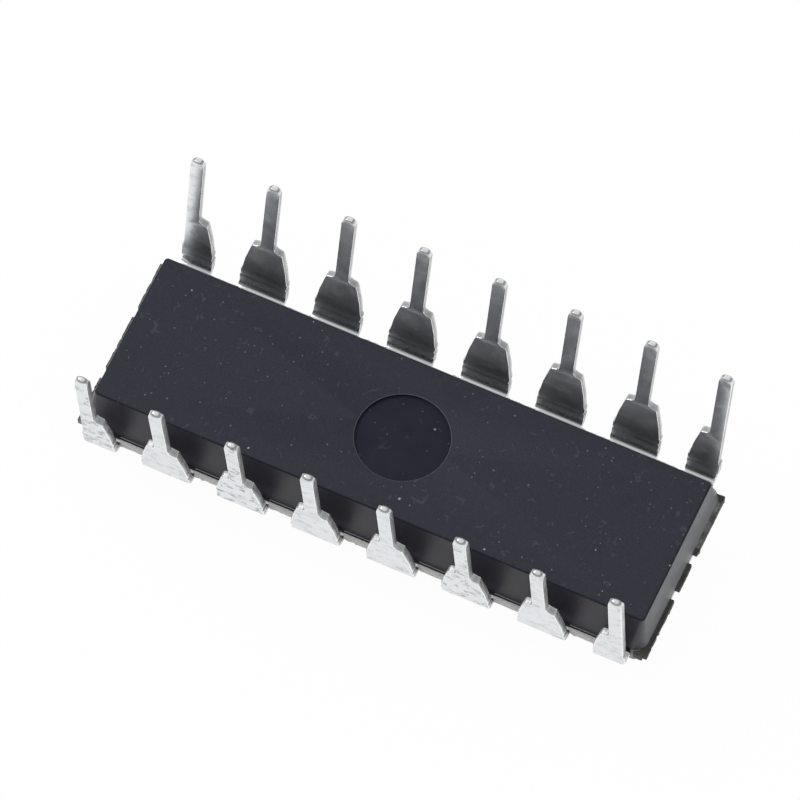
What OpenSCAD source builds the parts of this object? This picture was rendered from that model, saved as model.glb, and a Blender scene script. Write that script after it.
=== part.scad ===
// Sixteen-lead dual in-line package, lying on its marked face with the legs up.
// Origin: centre of the marked face. +X runs along the package, from the index notch
// end to the plain end, and +Z points to the lead tips.

/* [Moulded body] */
// Distance from the middle of an end lead to the end of the body, at the parting line
end_margin = 0.61; // [0.5:0.01:1]
// Width of the body at the parting line
body_w = 6.2; // [6:0.05:6.4]
// Height of the half between the lead frame and the marked face
cap_h = 1.75; // [1.5:0.05:2.2]
// Height of the half between the lead frame and the belly
belly_h = 1.3; // [1.1:0.05:1.6]
// Draft of both halves on their long sides, in degrees
side_draft = 21; // [12:1:24]
// Draft of both halves at their ends, in degrees
end_draft = 11.5; // [8:0.5:16]
// Radius of the upright corners at the parting line
corner_r = 0.22; // [0.14:0.02:0.5]
// Radius of the edge round the belly and the marked face
edge_r = 0.08; // [0.04:0.02:0.12]

/* [Moulding marks] */
// Diameter of the ejector pin mark in the belly
ejector_d = 3; // [2:0.05:3.4]
// Depth of the ejector pin mark
ejector_depth = 0.1; // [0.04:0.02:0.3]
// Radius of the index notch
notch_r = 0.8; // [0.5:0.05:1.2]
// Depth of the index notch, measured from the marked face
notch_depth = 0.6; // [0.3:0.05:0.9]
// How far the moulding flash stands out between the leads
side_flash = 0.13; // [0.06:0.01:0.2]
// How far the moulding flash stands out at the ends
end_flash = 0.14; // [0.06:0.01:0.2]

/* [Leads] */
// Distance between neighbouring leads
pitch = 2.54; // [2.5:0.01:2.56]
// Thickness of the lead frame
lead_t = 0.25; // [0.2:0.01:0.3]
// How far the bends stand out from the body's long sides
stand_out = 0.59; // [0.5:0.01:0.8]
// Inside radius of the bend
bend_r = 0.2; // [0.15:0.01:0.28]
// How far the legs lean outwards, in degrees
splay = 8.2; // [0:0.1:12]
// How far the four end legs lean outwards, in degrees
end_splay = 7; // [0:0.1:12]
// Width of a lead where it leaves the body
root_w = 1.5; // [1.3:0.02:1.54]
// Width of a lead over its dam bar stubs
skirt_w = 1.62; // [1.56:0.01:1.7]
// Length of the dam bar stubs above the bend
skirt_l = 0.55; // [0.3:0.05:0.6]
// Width of the shoulder at its foot
shoulder_w = 1.52; // [1.4:0.02:1.54]
// Width of the shoulder at its top corners
shoulder_top_w = 1.06; // [0.9:0.02:1.2]
// Height of the shoulder's slope between its corners and the leg
shoulder_rise = 0.1; // [0.04:0.02:0.2]
// Radius of the hollow between the leg and the shoulder
shoulder_fillet = 0.18; // [0.1:0.01:0.2]
// Height of the seating plane, at the foot of the legs, over the belly
standoff = 0.85; // [0.7:0.05:1.3]
// Width of a leg
leg_w = 0.45; // [0.38:0.01:0.54]
// Height of a leg's tip over the seating plane
leg_h = 3.15; // [2.9:0.05:3.6]
// Length of the taper at a leg's tip
tip_l = 0.24; // [0.1:0.01:0.3]
// Width of a leg's tip at its end
tip_w = 0.22; // [0.18:0.01:0.3]

/* [Lead frame inside the body] */
// Width of a finger
finger_w = 0.38; // [0.3:0.01:0.42]
// Length of a lead's full width inside the parting line
anchor_l = 0.4; // [0.25:0.05:0.5]
// Gap between a finger's end and the die paddle
finger_gap = 0.35; // [0.25:0.01:0.4]
// Gap between the end fingers, and between them and the strap
strap_gap = 0.24; // [0.2:0.01:0.3]
// Straight length of an end finger inside its anchor
finger_run = 0.4; // [0.3:0.02:0.5]
// How far an end finger slants towards the middle of the package
finger_sweep = 1.45; // [1.2:0.05:1.6]
// Length of the die paddle
paddle_l = 4.8; // [4.4:0.1:5]
// Width of the die paddle
paddle_w = 2.5; // [2.3:0.05:2.6]
// Width of the strap at each end of the paddle
strap_w = 0.5; // [0.4:0.02:0.56]
// Width of each tie bar where it leaves the body
tie_w = 0.3; // [0.24:0.01:0.34]
// Length of each fork, from the end of the strap to the end of the body
fork_l = 2.1; // [1.8:0.05:2.4]
// Length of a tie bar's straight end
tie_l = 0.95; // [0.7:0.05:1.1]
// Spacing of the tie bars at the notch end
tie_spacing_a = 2.35; // [2:0.05:2.5]
// Spacing of the tie bars at the plain end
tie_spacing_b = 1.35; // [1.2:0.05:1.6]
// How far the tie bars' ends sit off the middle, towards the near row
tie_shift = 0.08; // [0:0.01:0.15]
// Gap in the flash over each tie bar
tie_gap = 0.4; // [0.36:0.01:0.5]

/* [Die and wires] */
// Length of the die
die_l = 2.4; // [2:0.05:3]
// Width of the die
die_w = 1.7; // [1.4:0.05:2]
// Thickness of the die
die_t = 0.3; // [0.2:0.02:0.4]
// Thickness of the adhesive under the die
attach_t = 0.03; // [0.02:0.01:0.06]
// How far the adhesive spreads past the die
attach_rim = 0.12; // [0.05:0.01:0.2]
// Distance from the bond pads to the edge of the die
pad_inset = 0.12; // [0.08:0.01:0.2]
// Diameter of a bond wire
wire_d = 0.034; // [0.025:0.001:0.05]
// Diameter of the ball that bonds a wire to the die
ball_d = 0.08; // [0.06:0.005:0.1]
// How far a wire's loop stands over its pad
loop_h = 0.34; // [0.25:0.02:0.45]

/* [Hidden] */
$fn = 48;
leads_a_side = 8;
lead_names = [for (i = [1:2 * leads_a_side]) str("lead_", i < 10 ? "0" : "", i)];
wire_names = [for (i = [1:2 * leads_a_side]) str("bond_wire_", i < 10 ? "0" : "", i)];

// Heights, from the marked face at 0 up to the tips
frame_low = cap_h;
frame_high = frame_low + lead_t;
belly_z = frame_high + belly_h;
seat_z = belly_z + standoff;
die_face_z = frame_low - attach_t - die_t;

// Half sizes in plan
row_l = (leads_a_side - 1) * pitch;
end_x = row_l / 2 + end_margin;
wall_y = body_w / 2;
// How far the end flash stops short of the body's far and near sides
far_back = 0.18;
near_back = 0.02;
bend_y = wall_y + stand_out - lead_t - bend_r;
anchor_y = wall_y - anchor_l;

// A leg is drawn flat, along its own length from the end of the bend, and stood up at its lean
function bend_end_z(lean) = frame_high + bend_r - (bend_r + lead_t / 2) * sin(lean);
function seat_v(lean) = (seat_z - bend_end_z(lean)) / cos(lean);
function tip_v(lean) = seat_v(lean) + leg_h / cos(lean);
// The knee in a shoulder's side, as shares of the way up and of the way in
knee_up = 0.45;
knee_in = 0.3;
knee_w = shoulder_w - (shoulder_w - shoulder_top_w) * knee_in;
// Length of the sheared step over a stub, and of the cut at a shoulder's corner
step_l = 0.05;
corner_cut = 0.07;
fillet_steps = 6;

// Arc points about a centre, from one angle to another
function arc(centre, r, from, to, steps) =
    [for (i = [0:steps]) let (a = from + (to - from) * i / steps) centre + r * [cos(a), sin(a)]];

// Lead 1 is at the notch end of the far row, and the numbers run on round the package
function lead_side(i) = i <= leads_a_side ? 1 : -1;
function lead_slot(i) = i <= leads_a_side ? i : 2 * leads_a_side + 1 - i;
function lead_x(i) = (lead_slot(i) - (leads_a_side + 1) / 2) * pitch;
// Place counted from the nearer end: 1 for an end lead, 4 for one in the middle
function lead_place(i) = min(lead_slot(i), leads_a_side + 1 - lead_slot(i));
function lead_end(i) = lead_slot(i) <= leads_a_side / 2 ? -1 : 1;

// One flank of a leg, from the bend to the tip, for a lead that is wide on this flank.
// The sides of the shoulder lean in twice: a little up to the knee, then more up to its corners.
function leg_end(lean) = [[leg_w / 2, tip_v(lean) - tip_l], [tip_w / 2, tip_v(lean)]];
function wide_flank(lean) =
    let (
        corner_v = seat_v(lean) - shoulder_rise,
        knee_v = skirt_l + (corner_v - skirt_l) * knee_up,
        hollow = [leg_w / 2 + shoulder_fillet, seat_v(lean) + shoulder_fillet]
    ) concat(
        [[skirt_w / 2, 0], [skirt_w / 2, skirt_l], [shoulder_w / 2, skirt_l + step_l]],
        [[knee_w / 2, knee_v], [shoulder_top_w / 2, corner_v]],
        [[shoulder_top_w / 2 - corner_cut / 2, corner_v + corner_cut]],
        arc(hollow, shoulder_fillet, 265, 180, fillet_steps),
        leg_end(lean)
    );
// The outer flank of an end lead has no shoulder, only the stub
function plain_flank(lean) =
    let (stub = leg_w / 2 + (skirt_w - shoulder_w) / 2)
        concat(
            [[leg_w / 2, 0], [stub, step_l], [stub, skirt_l], [leg_w / 2, skirt_l + step_l]],
            leg_end(lean)
        );

function flipped(points) = [for (i = [len(points) - 1:-1:0]) [-points[i][0], points[i][1]]];

// Ribbon of even width along a path in plan, with mitred turns
function unit2(v) = v / norm(v);
function left_of(v) = [-v[1], v[0]];
function mitre(path, i) =
    let (
        before = i == 0 ? path[1] - path[0] : path[i] - path[i - 1],
        after = i == len(path) - 1 ? before : path[i + 1] - path[i],
        a = left_of(unit2(before)),
        b = left_of(unit2(after)),
        m = unit2(a + b)
    ) m / (m * a);
function ribbon(path, w) = concat(
    [for (i = [0:len(path) - 1]) path[i] + mitre(path, i) * w / 2],
    [for (i = [len(path) - 1:-1:0]) path[i] - mitre(path, i) * w / 2]
);

// Where a middle finger ends, as a share of the pitch from the middle of the package
middle_share = 0.28;
// How far the two end fingers come in for each unit of their slant
end_slant = [0.72, 0.42];
// Where a finger ends beside the paddle, in the quarter with x and y above 0
finger_tips = [
    [paddle_l / 2 + finger_gap, strap_w / 2 + strap_gap + finger_w / 2],
    [paddle_l / 2 + finger_gap, strap_w / 2 + 2 * strap_gap + 1.5 * finger_w],
    [paddle_l / 2 - finger_gap, paddle_w / 2 + finger_gap],
    [pitch * middle_share, paddle_w / 2 + finger_gap]
];
// The turns of each finger between the anchor and its end, in the same quarter
function finger_turns(place, x) =
    let (run_y = anchor_y - finger_run)
    place == 1 ? [[x, run_y], [x - finger_sweep, run_y - finger_sweep * end_slant[0]]]
    : place == 2 ? [[x, run_y], [x - finger_sweep, run_y - finger_sweep * end_slant[1]]]
    : [[x, anchor_y - finger_run / 2]];
// Middle of a lead's anchor: an end lead is cut back to its leg on the outside
function anchor_x(place, x) = place == 1 ? x - (root_w / 2 - leg_w / 2) / 2 : x;
function finger_path(place, x) = concat(
    [[anchor_x(place, x), anchor_y + anchor_l / 4]],
    finger_turns(place, anchor_x(place, x)),
    [finger_tips[place - 1]]
);

// A lead in plan and section, on the far row, at the end of the package with x above 0
module lead_shape(place, x) {
    outer = place == 1 ? leg_w / 2 : root_w / 2;
    bend_outer = place == 1 ? leg_w / 2 : skirt_w / 2;
    lean = place == 1 ? end_splay : splay;
    outer_flank = place == 1 ? plain_flank(lean) : wide_flank(lean);
    // Finger inside the body
    translate([0, 0, frame_low])
        linear_extrude(lead_t)
            polygon(ribbon(finger_path(place, x), finger_w));
    // Root, through the wall of the body and up to the bend
    translate([x - root_w / 2, anchor_y, frame_low])
        cube([root_w / 2 + outer, bend_y - anchor_y, lead_t]);
    // Bend, swept about an axis along X
    translate([x, bend_y, frame_high + bend_r])
        rotate([90, 0, 90])
            rotate(-90)
                rotate_extrude(angle = 90 - lean)
                    translate([bend_r, -skirt_w / 2])
                        square([lead_t, skirt_w / 2 + bend_outer]);
    // Shoulder and leg, a flat blank stood up at the leg's lean
    translate([x, bend_y, frame_high + bend_r])
        rotate([-lean, 0, 0])
            translate([0, bend_r, 0])
                rotate([90, 0, 0])
                    mirror([0, 0, 1])
                        linear_extrude(lead_t)
                            polygon(concat(outer_flank, flipped(wide_flank(lean))));
}

module lead(i) {
    color("silver")
        mirror([lead_end(i) < 0 ? 1 : 0, 0, 0])
            mirror([0, lead_side(i) < 0 ? 1 : 0, 0])
                lead_shape(lead_place(i), abs(lead_x(i)));
}

// One half of the paddle's outline at one end: its edge, the strap and a tie bar of the fork
function fork_half(tie_y) =
    let (
        fork_x = end_x - fork_l,
        turn_x = end_x - tie_l,
        outer = tie_y + tie_w / 2,
        inner = tie_y - tie_w / 2
    ) [
        [paddle_l / 2, paddle_w / 2], [paddle_l / 2, strap_w / 2], [fork_x, strap_w / 2],
        [turn_x, outer], [end_x, outer], [end_x, inner], [turn_x + tie_w * 0.4, inner],
        [fork_x + 1.3 * tie_w, 0]
    ];
// Both halves, with the tie bars' ends moved along Y
function fork_outline(spacing, shift) =
    let (
        plus = fork_half(spacing / 2 + shift),
        minus = fork_half(spacing / 2 - shift)
    ) concat(plus, [for (i = [len(minus) - 2:-1:0]) [minus[i][0], -minus[i][1]]]);

module die_paddle() {
    color("lightgray")
        translate([0, 0, frame_low])
            linear_extrude(lead_t)
                polygon(concat(
                    fork_outline(tie_spacing_b, -tie_shift),
                    -fork_outline(tie_spacing_a, tie_shift)
                ));
}

module die_attach() {
    color("gray")
        translate([-die_l / 2 - attach_rim, -die_w / 2 - attach_rim, frame_low - attach_t])
            cube([die_l + 2 * attach_rim, die_w + 2 * attach_rim, attach_t]);
}

module silicon_die() {
    color("slategray")
        translate([-die_l / 2, -die_w / 2, die_face_z])
            cube([die_l, die_w, die_t]);
}

// Bond wires: a Bezier loop from a pad on the die to the end of a finger
wire_rings = 9;
wire_sides = 6;
// How far a wire's foot stands back from the end of its finger
foot_back = 0.15;

// Where the pads stand in a quarter of the die, as shares of the row of pads along each side
pad_shares = [[1, 0.3], [1, 0.8], [0.72, 1], [0.26, 1]];
function pad_of(place) = [
    (die_l / 2 - pad_inset) * pad_shares[place - 1][0],
    (die_w / 2 - pad_inset) * pad_shares[place - 1][1]
];
function foot_of(place, x) =
    let (
        path = finger_path(place, x),
        last = path[len(path) - 1],
        back = unit2(path[len(path) - 2] - last)
    ) last + back * foot_back;

function bezier(p, t) =
    pow(1 - t, 3) * p[0] + 3 * t * pow(1 - t, 2) * p[1] + 3 * t * t * (1 - t) * p[2] + pow(t, 3) * p[3];
function bezier_slope(p, t) =
    3 * pow(1 - t, 2) * (p[1] - p[0]) + 6 * t * (1 - t) * (p[2] - p[1]) + 3 * t * t * (p[3] - p[2]);

function ring_radius(i) = i <= 1 ? ball_d / 2 : wire_d / 2;
// The ball ends in the first shares of the curve, and the rest is even
ball_share = 0.03;
function ring_share(i) =
    i == 0 ? 0
    : i == 1 ? ball_share * 0.7
    : ball_share + (1 - ball_share) * (i - 2) / (wire_rings - 3);
function wire_points(curve) =
    let (
        run = curve[3] - curve[0],
        across = unit2([-run[1], run[0]]),
        level = [across[0], across[1], 0]
    ) [
        for (i = [0:wire_rings - 1])
            let (
                t = ring_share(i),
                centre = bezier(curve, t),
                slope = bezier_slope(curve, t),
                up = cross(level, slope / norm(slope))
            )
                for (k = [0:wire_sides - 1])
                    let (a = 360 * k / wire_sides) centre + ring_radius(i) * (cos(a) * level + sin(a) * up)
    ];
wire_faces = concat(
    [[for (k = [0:wire_sides - 1]) k]],
    [
        for (i = [0:wire_rings - 2], k = [0:wire_sides - 1])
            let (a = i * wire_sides + k, b = i * wire_sides + (k + 1) % wire_sides)
                [a, a + wire_sides, b]
    ],
    [
        for (i = [0:wire_rings - 2], k = [0:wire_sides - 1])
            let (a = i * wire_sides + k, b = i * wire_sides + (k + 1) % wire_sides)
                [b, a + wire_sides, b + wire_sides]
    ],
    [[for (k = [wire_sides - 1:-1:0]) (wire_rings - 1) * wire_sides + k]]
);

module bond_wire(i) {
    place = lead_place(i);
    pad = pad_of(place);
    foot = foot_of(place, abs(lead_x(i)));
    curve = [
        [pad[0], pad[1], die_face_z],
        [pad[0], pad[1], die_face_z - loop_h],
        [foot[0], foot[1], frame_low - loop_h - die_t],
        [foot[0], foot[1], frame_low]
    ];
    color("gold")
        mirror([lead_end(i) < 0 ? 1 : 0, 0, 0])
            mirror([0, lead_side(i) < 0 ? 1 : 0, 0])
                polyhedron(points = wire_points(curve), faces = wire_faces);
}

// Height of one layer of the block's hull
layer_t = 0.02;
// Radius of the upright corners at the belly
belly_corner_r = corner_r - 0.1;

// Corners of the body's outline, drawn in by one amount along X and another along Y
module outline(in_x, in_y, r) {
    for (sx = [-1, 1], sy = [-1, 1])
        translate([sx * (end_x - in_x - r), sy * (wall_y - in_y - r)])
            circle(r, $fn = 32);
}

module layer(z, in_x, in_y, r) {
    translate([0, 0, z])
        linear_extrude(layer_t)
            outline(in_x, in_y, r);
}

// The solid block of both halves, one convex form
module block() {
    cap_x = cap_h * tan(end_draft);
    cap_y = cap_h * tan(side_draft);
    belly_x = belly_h * tan(end_draft);
    belly_y = belly_h * tan(side_draft);
    soft = edge_r * 0.5;
    hull() {
        layer(0, cap_x + edge_r, cap_y + edge_r, corner_r - edge_r);
        layer(soft, cap_x + soft, cap_y + soft, corner_r);
        translate([0, 0, frame_low])
            linear_extrude(lead_t)
                outline(0, 0, corner_r);
        layer(belly_z - soft, belly_x, belly_y, belly_corner_r);
        layer(belly_z - layer_t, belly_x + edge_r, belly_y + edge_r, belly_corner_r - edge_r);
    }
}

// One piece of end flash in plan, between two places across the end, with its corners broken
module flash_piece(from, to) {
    broken = end_flash * 0.6;
    polygon([
        [end_x - corner_r, from], [end_x + end_flash - broken, from], [end_x + end_flash, from + broken],
        [end_x + end_flash, to - broken], [end_x + end_flash - broken, to], [end_x - corner_r, to]
    ]);
}

// The flash at one end, with a gap over each tie bar
module end_pieces(spacing) {
    flash_piece(-(spacing - tie_gap) / 2 - tie_shift, (spacing - tie_gap) / 2 - tie_shift);
    flash_piece((spacing + tie_gap) / 2 - tie_shift, wall_y - far_back);
    flash_piece(near_back - wall_y, -(spacing + tie_gap) / 2 - tie_shift);
}

// Flash at the parting line, as thick as the lead frame: between the leads and at both ends
module flash() {
    translate([0, 0, frame_low])
        linear_extrude(lead_t) {
            square([row_l, body_w + 2 * side_flash], center = true);
            end_pieces(tie_spacing_b);
            mirror([1, 0])
                end_pieces(tie_spacing_a);
        }
}

module package_body() {
    color([0.16, 0.16, 0.19])
        difference() {
            union() {
                block();
                flash();
            }
            // Ejector pin mark in the belly
            translate([0, 0, belly_z - ejector_depth])
                cylinder(d = ejector_d, h = 1);
            // Index notch at the end of lead 1
            translate([-end_x, 0, -1])
                cylinder(r = notch_r + cap_h * tan(end_draft), h = 1 + notch_depth);
            // Everything that the compound was moulded round
            for (i = [1:2 * leads_a_side]) {
                lead(i);
                bond_wire(i);
            }
            die_paddle();
            die_attach();
            silicon_die();
        }
}

package_body();
die_paddle();
die_attach();
silicon_die();
for (i = [1:2 * leads_a_side]) {
    lead(i);
    bond_wire(i);
}
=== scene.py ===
"""Sixteen-lead dual in-line package lying on its marked face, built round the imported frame.

Sizes are in millimetres in the classes, as in the part's source, and each finished mesh is in
metres, in the frame's own axes: +X from the notch end to the plain end, +Z up to the lead tips.
"""

import logging
import math
from dataclasses import dataclass, field
from enum import Enum
from typing import Any, Callable, Iterable

import bmesh
import bpy
from mathutils import Matrix, Vector, noise

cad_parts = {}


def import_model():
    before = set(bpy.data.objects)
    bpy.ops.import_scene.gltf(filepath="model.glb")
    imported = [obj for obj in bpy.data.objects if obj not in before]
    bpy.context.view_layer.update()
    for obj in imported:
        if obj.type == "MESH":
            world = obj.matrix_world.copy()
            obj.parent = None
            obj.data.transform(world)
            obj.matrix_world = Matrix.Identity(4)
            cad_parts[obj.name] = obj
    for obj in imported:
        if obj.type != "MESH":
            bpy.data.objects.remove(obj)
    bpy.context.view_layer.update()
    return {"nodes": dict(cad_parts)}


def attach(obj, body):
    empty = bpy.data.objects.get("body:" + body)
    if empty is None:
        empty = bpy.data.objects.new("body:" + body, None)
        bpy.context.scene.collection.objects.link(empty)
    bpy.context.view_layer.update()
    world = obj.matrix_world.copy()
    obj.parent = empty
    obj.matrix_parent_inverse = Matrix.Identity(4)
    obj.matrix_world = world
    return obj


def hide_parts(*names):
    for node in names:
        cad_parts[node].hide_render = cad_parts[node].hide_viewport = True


log = logging.getLogger("package")

MM = 0.001
MERGE = 0.002
HAIR = 0.001
BODY = "root"
SHARP = 40.0
NOISE_SEED = 16  # Without one, the noise follows the clock and no two runs are the same.

BMesh = bmesh.types.BMesh
Material = bpy.types.Material
Node = bpy.types.Node
Object = bpy.types.Object
Socket = bpy.types.NodeSocket
Tree = bpy.types.NodeTree
Colour = tuple[float, float, float]
Points = list[tuple[float, float]]


class Row(Enum):
    """A row of leads, by the side of the package it stands on."""

    FAR = 1
    NEAR = -1


class End(Enum):
    """An end of the package."""

    NOTCH = -1
    PLAIN = 1


@dataclass(frozen=True)
class Sizes:
    """Sizes that more than one piece of the package is built to, in millimetres."""

    pitch: float = 2.54
    leads_a_side: int = 8
    end_margin: float = 0.61
    body_w: float = 6.2
    cap_h: float = 1.75
    belly_h: float = 1.3
    lead_t: float = 0.25
    root_w: float = 1.5
    leg_w: float = 0.45

    @property
    def frame_low(self) -> float:
        """Height of the lead frame's lower face."""
        return self.cap_h

    @property
    def frame_high(self) -> float:
        """Height of the lead frame's upper face."""
        return self.cap_h + self.lead_t

    @property
    def belly_z(self) -> float:
        """Height of the belly."""
        return self.frame_high + self.belly_h

    @property
    def end_x(self) -> float:
        """Half length of the body at the parting line."""
        return (self.leads_a_side - 1) * self.pitch / 2 + self.end_margin

    @property
    def wall_y(self) -> float:
        """Half width of the body at the parting line."""
        return self.body_w / 2

    def lead_x(self, number: int) -> float:
        """Place along its row of the lead with this number, from 1 at the notch end of the far row."""
        slot = number if number <= self.leads_a_side else 2 * self.leads_a_side + 1 - number
        return (slot - (self.leads_a_side + 1) / 2) * self.pitch


SIZES = Sizes()


# Node trees


class Value:
    """A node's output, which can be added to, taken away, multiplied and mapped."""

    def __init__(self, graph: "Graph", socket: Socket) -> None:
        """Wraps an output of a node in a graph."""
        self.graph = graph
        self.socket = socket

    def __add__(self, other: Any) -> "Value":
        """The sum of both."""
        return self.graph.math("ADD", self, other)

    def __sub__(self, other: Any) -> "Value":
        """What is left when the other is taken away."""
        return self.graph.math("SUBTRACT", self, other)

    def __rsub__(self, other: float) -> "Value":
        """What is left of a number when this is taken away."""
        return self.graph.math("SUBTRACT", other, self)

    def __mul__(self, other: Any) -> "Value":
        """The product of both."""
        return self.graph.math("MULTIPLY", self, other)

    def __or__(self, other: "Value") -> "Value":
        """The larger of both."""
        return self.graph.math("MAXIMUM", self, other)

    def span(self, low: Any, high: Any, to_low: float = 0.0, to_high: float = 1.0) -> "Value":
        """Maps a range of the value smoothly on another range.

        Args:
            low: Start of the range.
            high: End of the range.
            to_low: What the start becomes.
            to_high: What the end becomes.

        Returns:
            The mapped value.
        """
        ends = {"From Min": low, "From Max": high, "To Min": to_low, "To Max": to_high}
        return self.graph.out("MapRange", {"Value": self, **ends}, interpolation_type="SMOOTHSTEP")


class Graph:
    """Places and links the nodes of one tree."""

    def __init__(self, tree: Tree) -> None:
        """Starts on a tree, which is cleared."""
        self.tree = tree
        tree.nodes.clear()

    def add(self, kind: str, inputs: dict[Any, Any] | None = None, **settings: Any) -> Node:
        """Adds a node.

        Args:
            kind: The node's type, without its ShaderNode prefix.
            inputs: What goes into its sockets, by name or number: an output or a plain value.
            settings: The node's own settings.

        Returns:
            The new node.
        """
        node = self.tree.nodes.new(kind if kind.startswith("Node") else "ShaderNode" + kind)
        for name, value in settings.items():
            setattr(node, name, value)
        for key, value in (inputs or {}).items():
            self.feed(node.inputs[key], value)
        return node

    def feed(self, socket: Socket, value: Any) -> None:
        """Links a socket, or sets its value.

        Args:
            socket: The input to feed.
            value: Another node's output, or a plain value.
        """
        value = value.socket if isinstance(value, Value) else value
        if isinstance(value, bpy.types.NodeSocket):
            self.tree.links.new(value, socket)
        elif socket.type == "RGBA" and len(value) == 3:
            socket.default_value = (*value, 1.0)
        else:
            socket.default_value = value

    def out(self, kind: str, inputs: dict[Any, Any] | None = None, which: Any = 0, **settings: Any) -> Value:
        """Adds a node, as add does, and gives one of its outputs, by name or number."""
        return Value(self, self.add(kind, inputs, **settings).outputs[which])

    def values(self, node: Node) -> dict[str, Value]:
        """A node's outputs by name."""
        return {socket.name: Value(self, socket) for socket in node.outputs}

    def math(self, how: str, a: Any, b: Any = 0.0, clamp: bool = False) -> Value:
        """One operation on two values, kept between 0 and 1 if it is clamped."""
        return self.out("Math", {0: a, 1: b}, operation=how, use_clamp=clamp)

    def vector(self, how: str, a: Any, b: Any) -> Value:
        """One operation on two vectors."""
        return self.out("VectorMath", {0: a, 1: b}, operation=how)

    def noise(self, place: Value, scale: Any, detail: float, rough: float = 0.5) -> Value:
        """Noise about 0.5, read at a place."""
        return self.out("TexNoise", {"Vector": place, "Scale": scale, "Detail": detail, "Roughness": rough})

    def mix(self, colour: Any, *layers: tuple[Any, Any]) -> Value:
        """Lays colours over one another.

        Args:
            colour: The lowest one.
            layers: How much of each further one shows, and its colour.

        Returns:
            The colour on top.
        """
        for share, over in layers:
            colour = self.out("Mix", {0: share, 6: colour, 7: over}, which=2, data_type="RGBA")
        return colour


class EffectGraph(Graph):
    """The inside of one effect's node group, with the group's inputs in order."""

    inputs: list[Value]

    def grain(self) -> dict[str, Value]:
        """Fine and coarse grain, as a height and as a slow variation.

        Returns:
            The group's outputs by name.
        """
        place, fine, coarse = self.inputs
        cells = self.out("TexVoronoi", {"Vector": place, "Scale": fine}, feature="SMOOTH_F1")
        height = self.noise(place, fine, 4.0, 0.65) * 0.7 + cells * 0.3
        return {"Height": height, "Variation": self.noise(place, coarse, 3.0).span(0.3, 0.7)}

    def specks(self) -> dict[str, Value]:
        """Sparse small specks of uneven size.

        Returns:
            The group's outputs by name.
        """
        place, scale, radius, share = self.inputs
        bend = self.out("TexNoise", {"Vector": place, "Scale": scale * 3.0, "Detail": 2.0}, which="Color")
        bent = self.vector("ADD", place, self.vector("MULTIPLY", bend, (0.02, 0.02, 0.02)))
        cells = self.values(self.add("TexVoronoi", {"Vector": bent, "Scale": scale}))
        draw = self.values(self.add("SeparateColor", {0: cells["Color"]}))
        inside = self.math("LESS_THAN", cells["Distance"], radius * (draw["Green"] + 0.3))
        return {"Mask": inside * self.math("LESS_THAN", draw["Red"], share)}

    def scratches(self) -> dict[str, Value]:
        """Thin broken lines along the second axis of the vector.

        Returns:
            The group's outputs by name.
        """
        place, across, along, share, width = self.inputs
        scaled = self.vector("MULTIPLY", place, self.out("CombineXYZ", {0: across, 1: along, 2: across}))
        off = self.math("ABSOLUTE", self.noise(scaled, 1.0, 2.0, 0.55) - 0.5)
        shown = self.math("GREATER_THAN", self.noise(place, 3.0, 3.0), 1.0 - share)
        return {"Mask": off.span(0.0, width, 1.0, 0.0) * shown, "Streaks": self.noise(scaled, 2.3, 3.0, 0.7)}

    def stains(self) -> dict[str, Value]:
        """Soft cloudy stains.

        Returns:
            The group's outputs by name.
        """
        place, scale, share = self.inputs
        look = {"Detail": 5.0, "Roughness": 0.62, "Distortion": 0.6}
        clouds = self.out("TexNoise", {"Vector": place, "Scale": scale, **look})
        return {"Mask": self.math("MULTIPLY", clouds - (0.75 - share * 0.5), 6.0, clamp=True)}


class Effect(Enum):
    """The surface effects that several finishes share, each a node group of this name."""

    GRAIN = "grain"
    SPECKS = "specks"
    SCRATCHES = "scratches"
    STAINS = "stains"


EFFECTS: dict[Effect, tuple[Callable[[EffectGraph], dict[str, Value]], dict[str, float]]] = {
    Effect.GRAIN: (EffectGraph.grain, {"Fine": 20.0, "Coarse": 2.0}),
    Effect.SPECKS: (EffectGraph.specks, {"Scale": 4.0, "Radius": 0.1, "Share": 0.2}),
    Effect.SCRATCHES: (EffectGraph.scratches, {"Across": 10.0, "Along": 0.6, "Share": 0.5, "Width": 0.02}),
    Effect.STAINS: (EffectGraph.stains, {"Scale": 1.5, "Share": 0.4}),
}


def effect_group(which: Effect) -> Tree:
    """Builds the node group of an effect.

    Args:
        which: The effect.

    Returns:
        The group, whose first input is where the effect is read.
    """
    make, inputs = EFFECTS[which]
    tree = bpy.data.node_groups.new(which.value, "ShaderNodeTree")
    tree.interface.new_socket(name="Vector", in_out="INPUT", socket_type="NodeSocketVector")
    for label, value in inputs.items():
        socket = tree.interface.new_socket(name=label, in_out="INPUT", socket_type="NodeSocketFloat")
        socket.default_value = value
    graph = EffectGraph(tree)
    into = graph.add("NodeGroupInput").outputs[: len(inputs) + 1]
    graph.inputs = [Value(graph, socket) for socket in into]
    results = make(graph)
    for label in results:
        tree.interface.new_socket(name=label, in_out="OUTPUT", socket_type="NodeSocketFloat")
    graph.add("NodeGroupOutput", results)
    return tree


# Finishes


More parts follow.
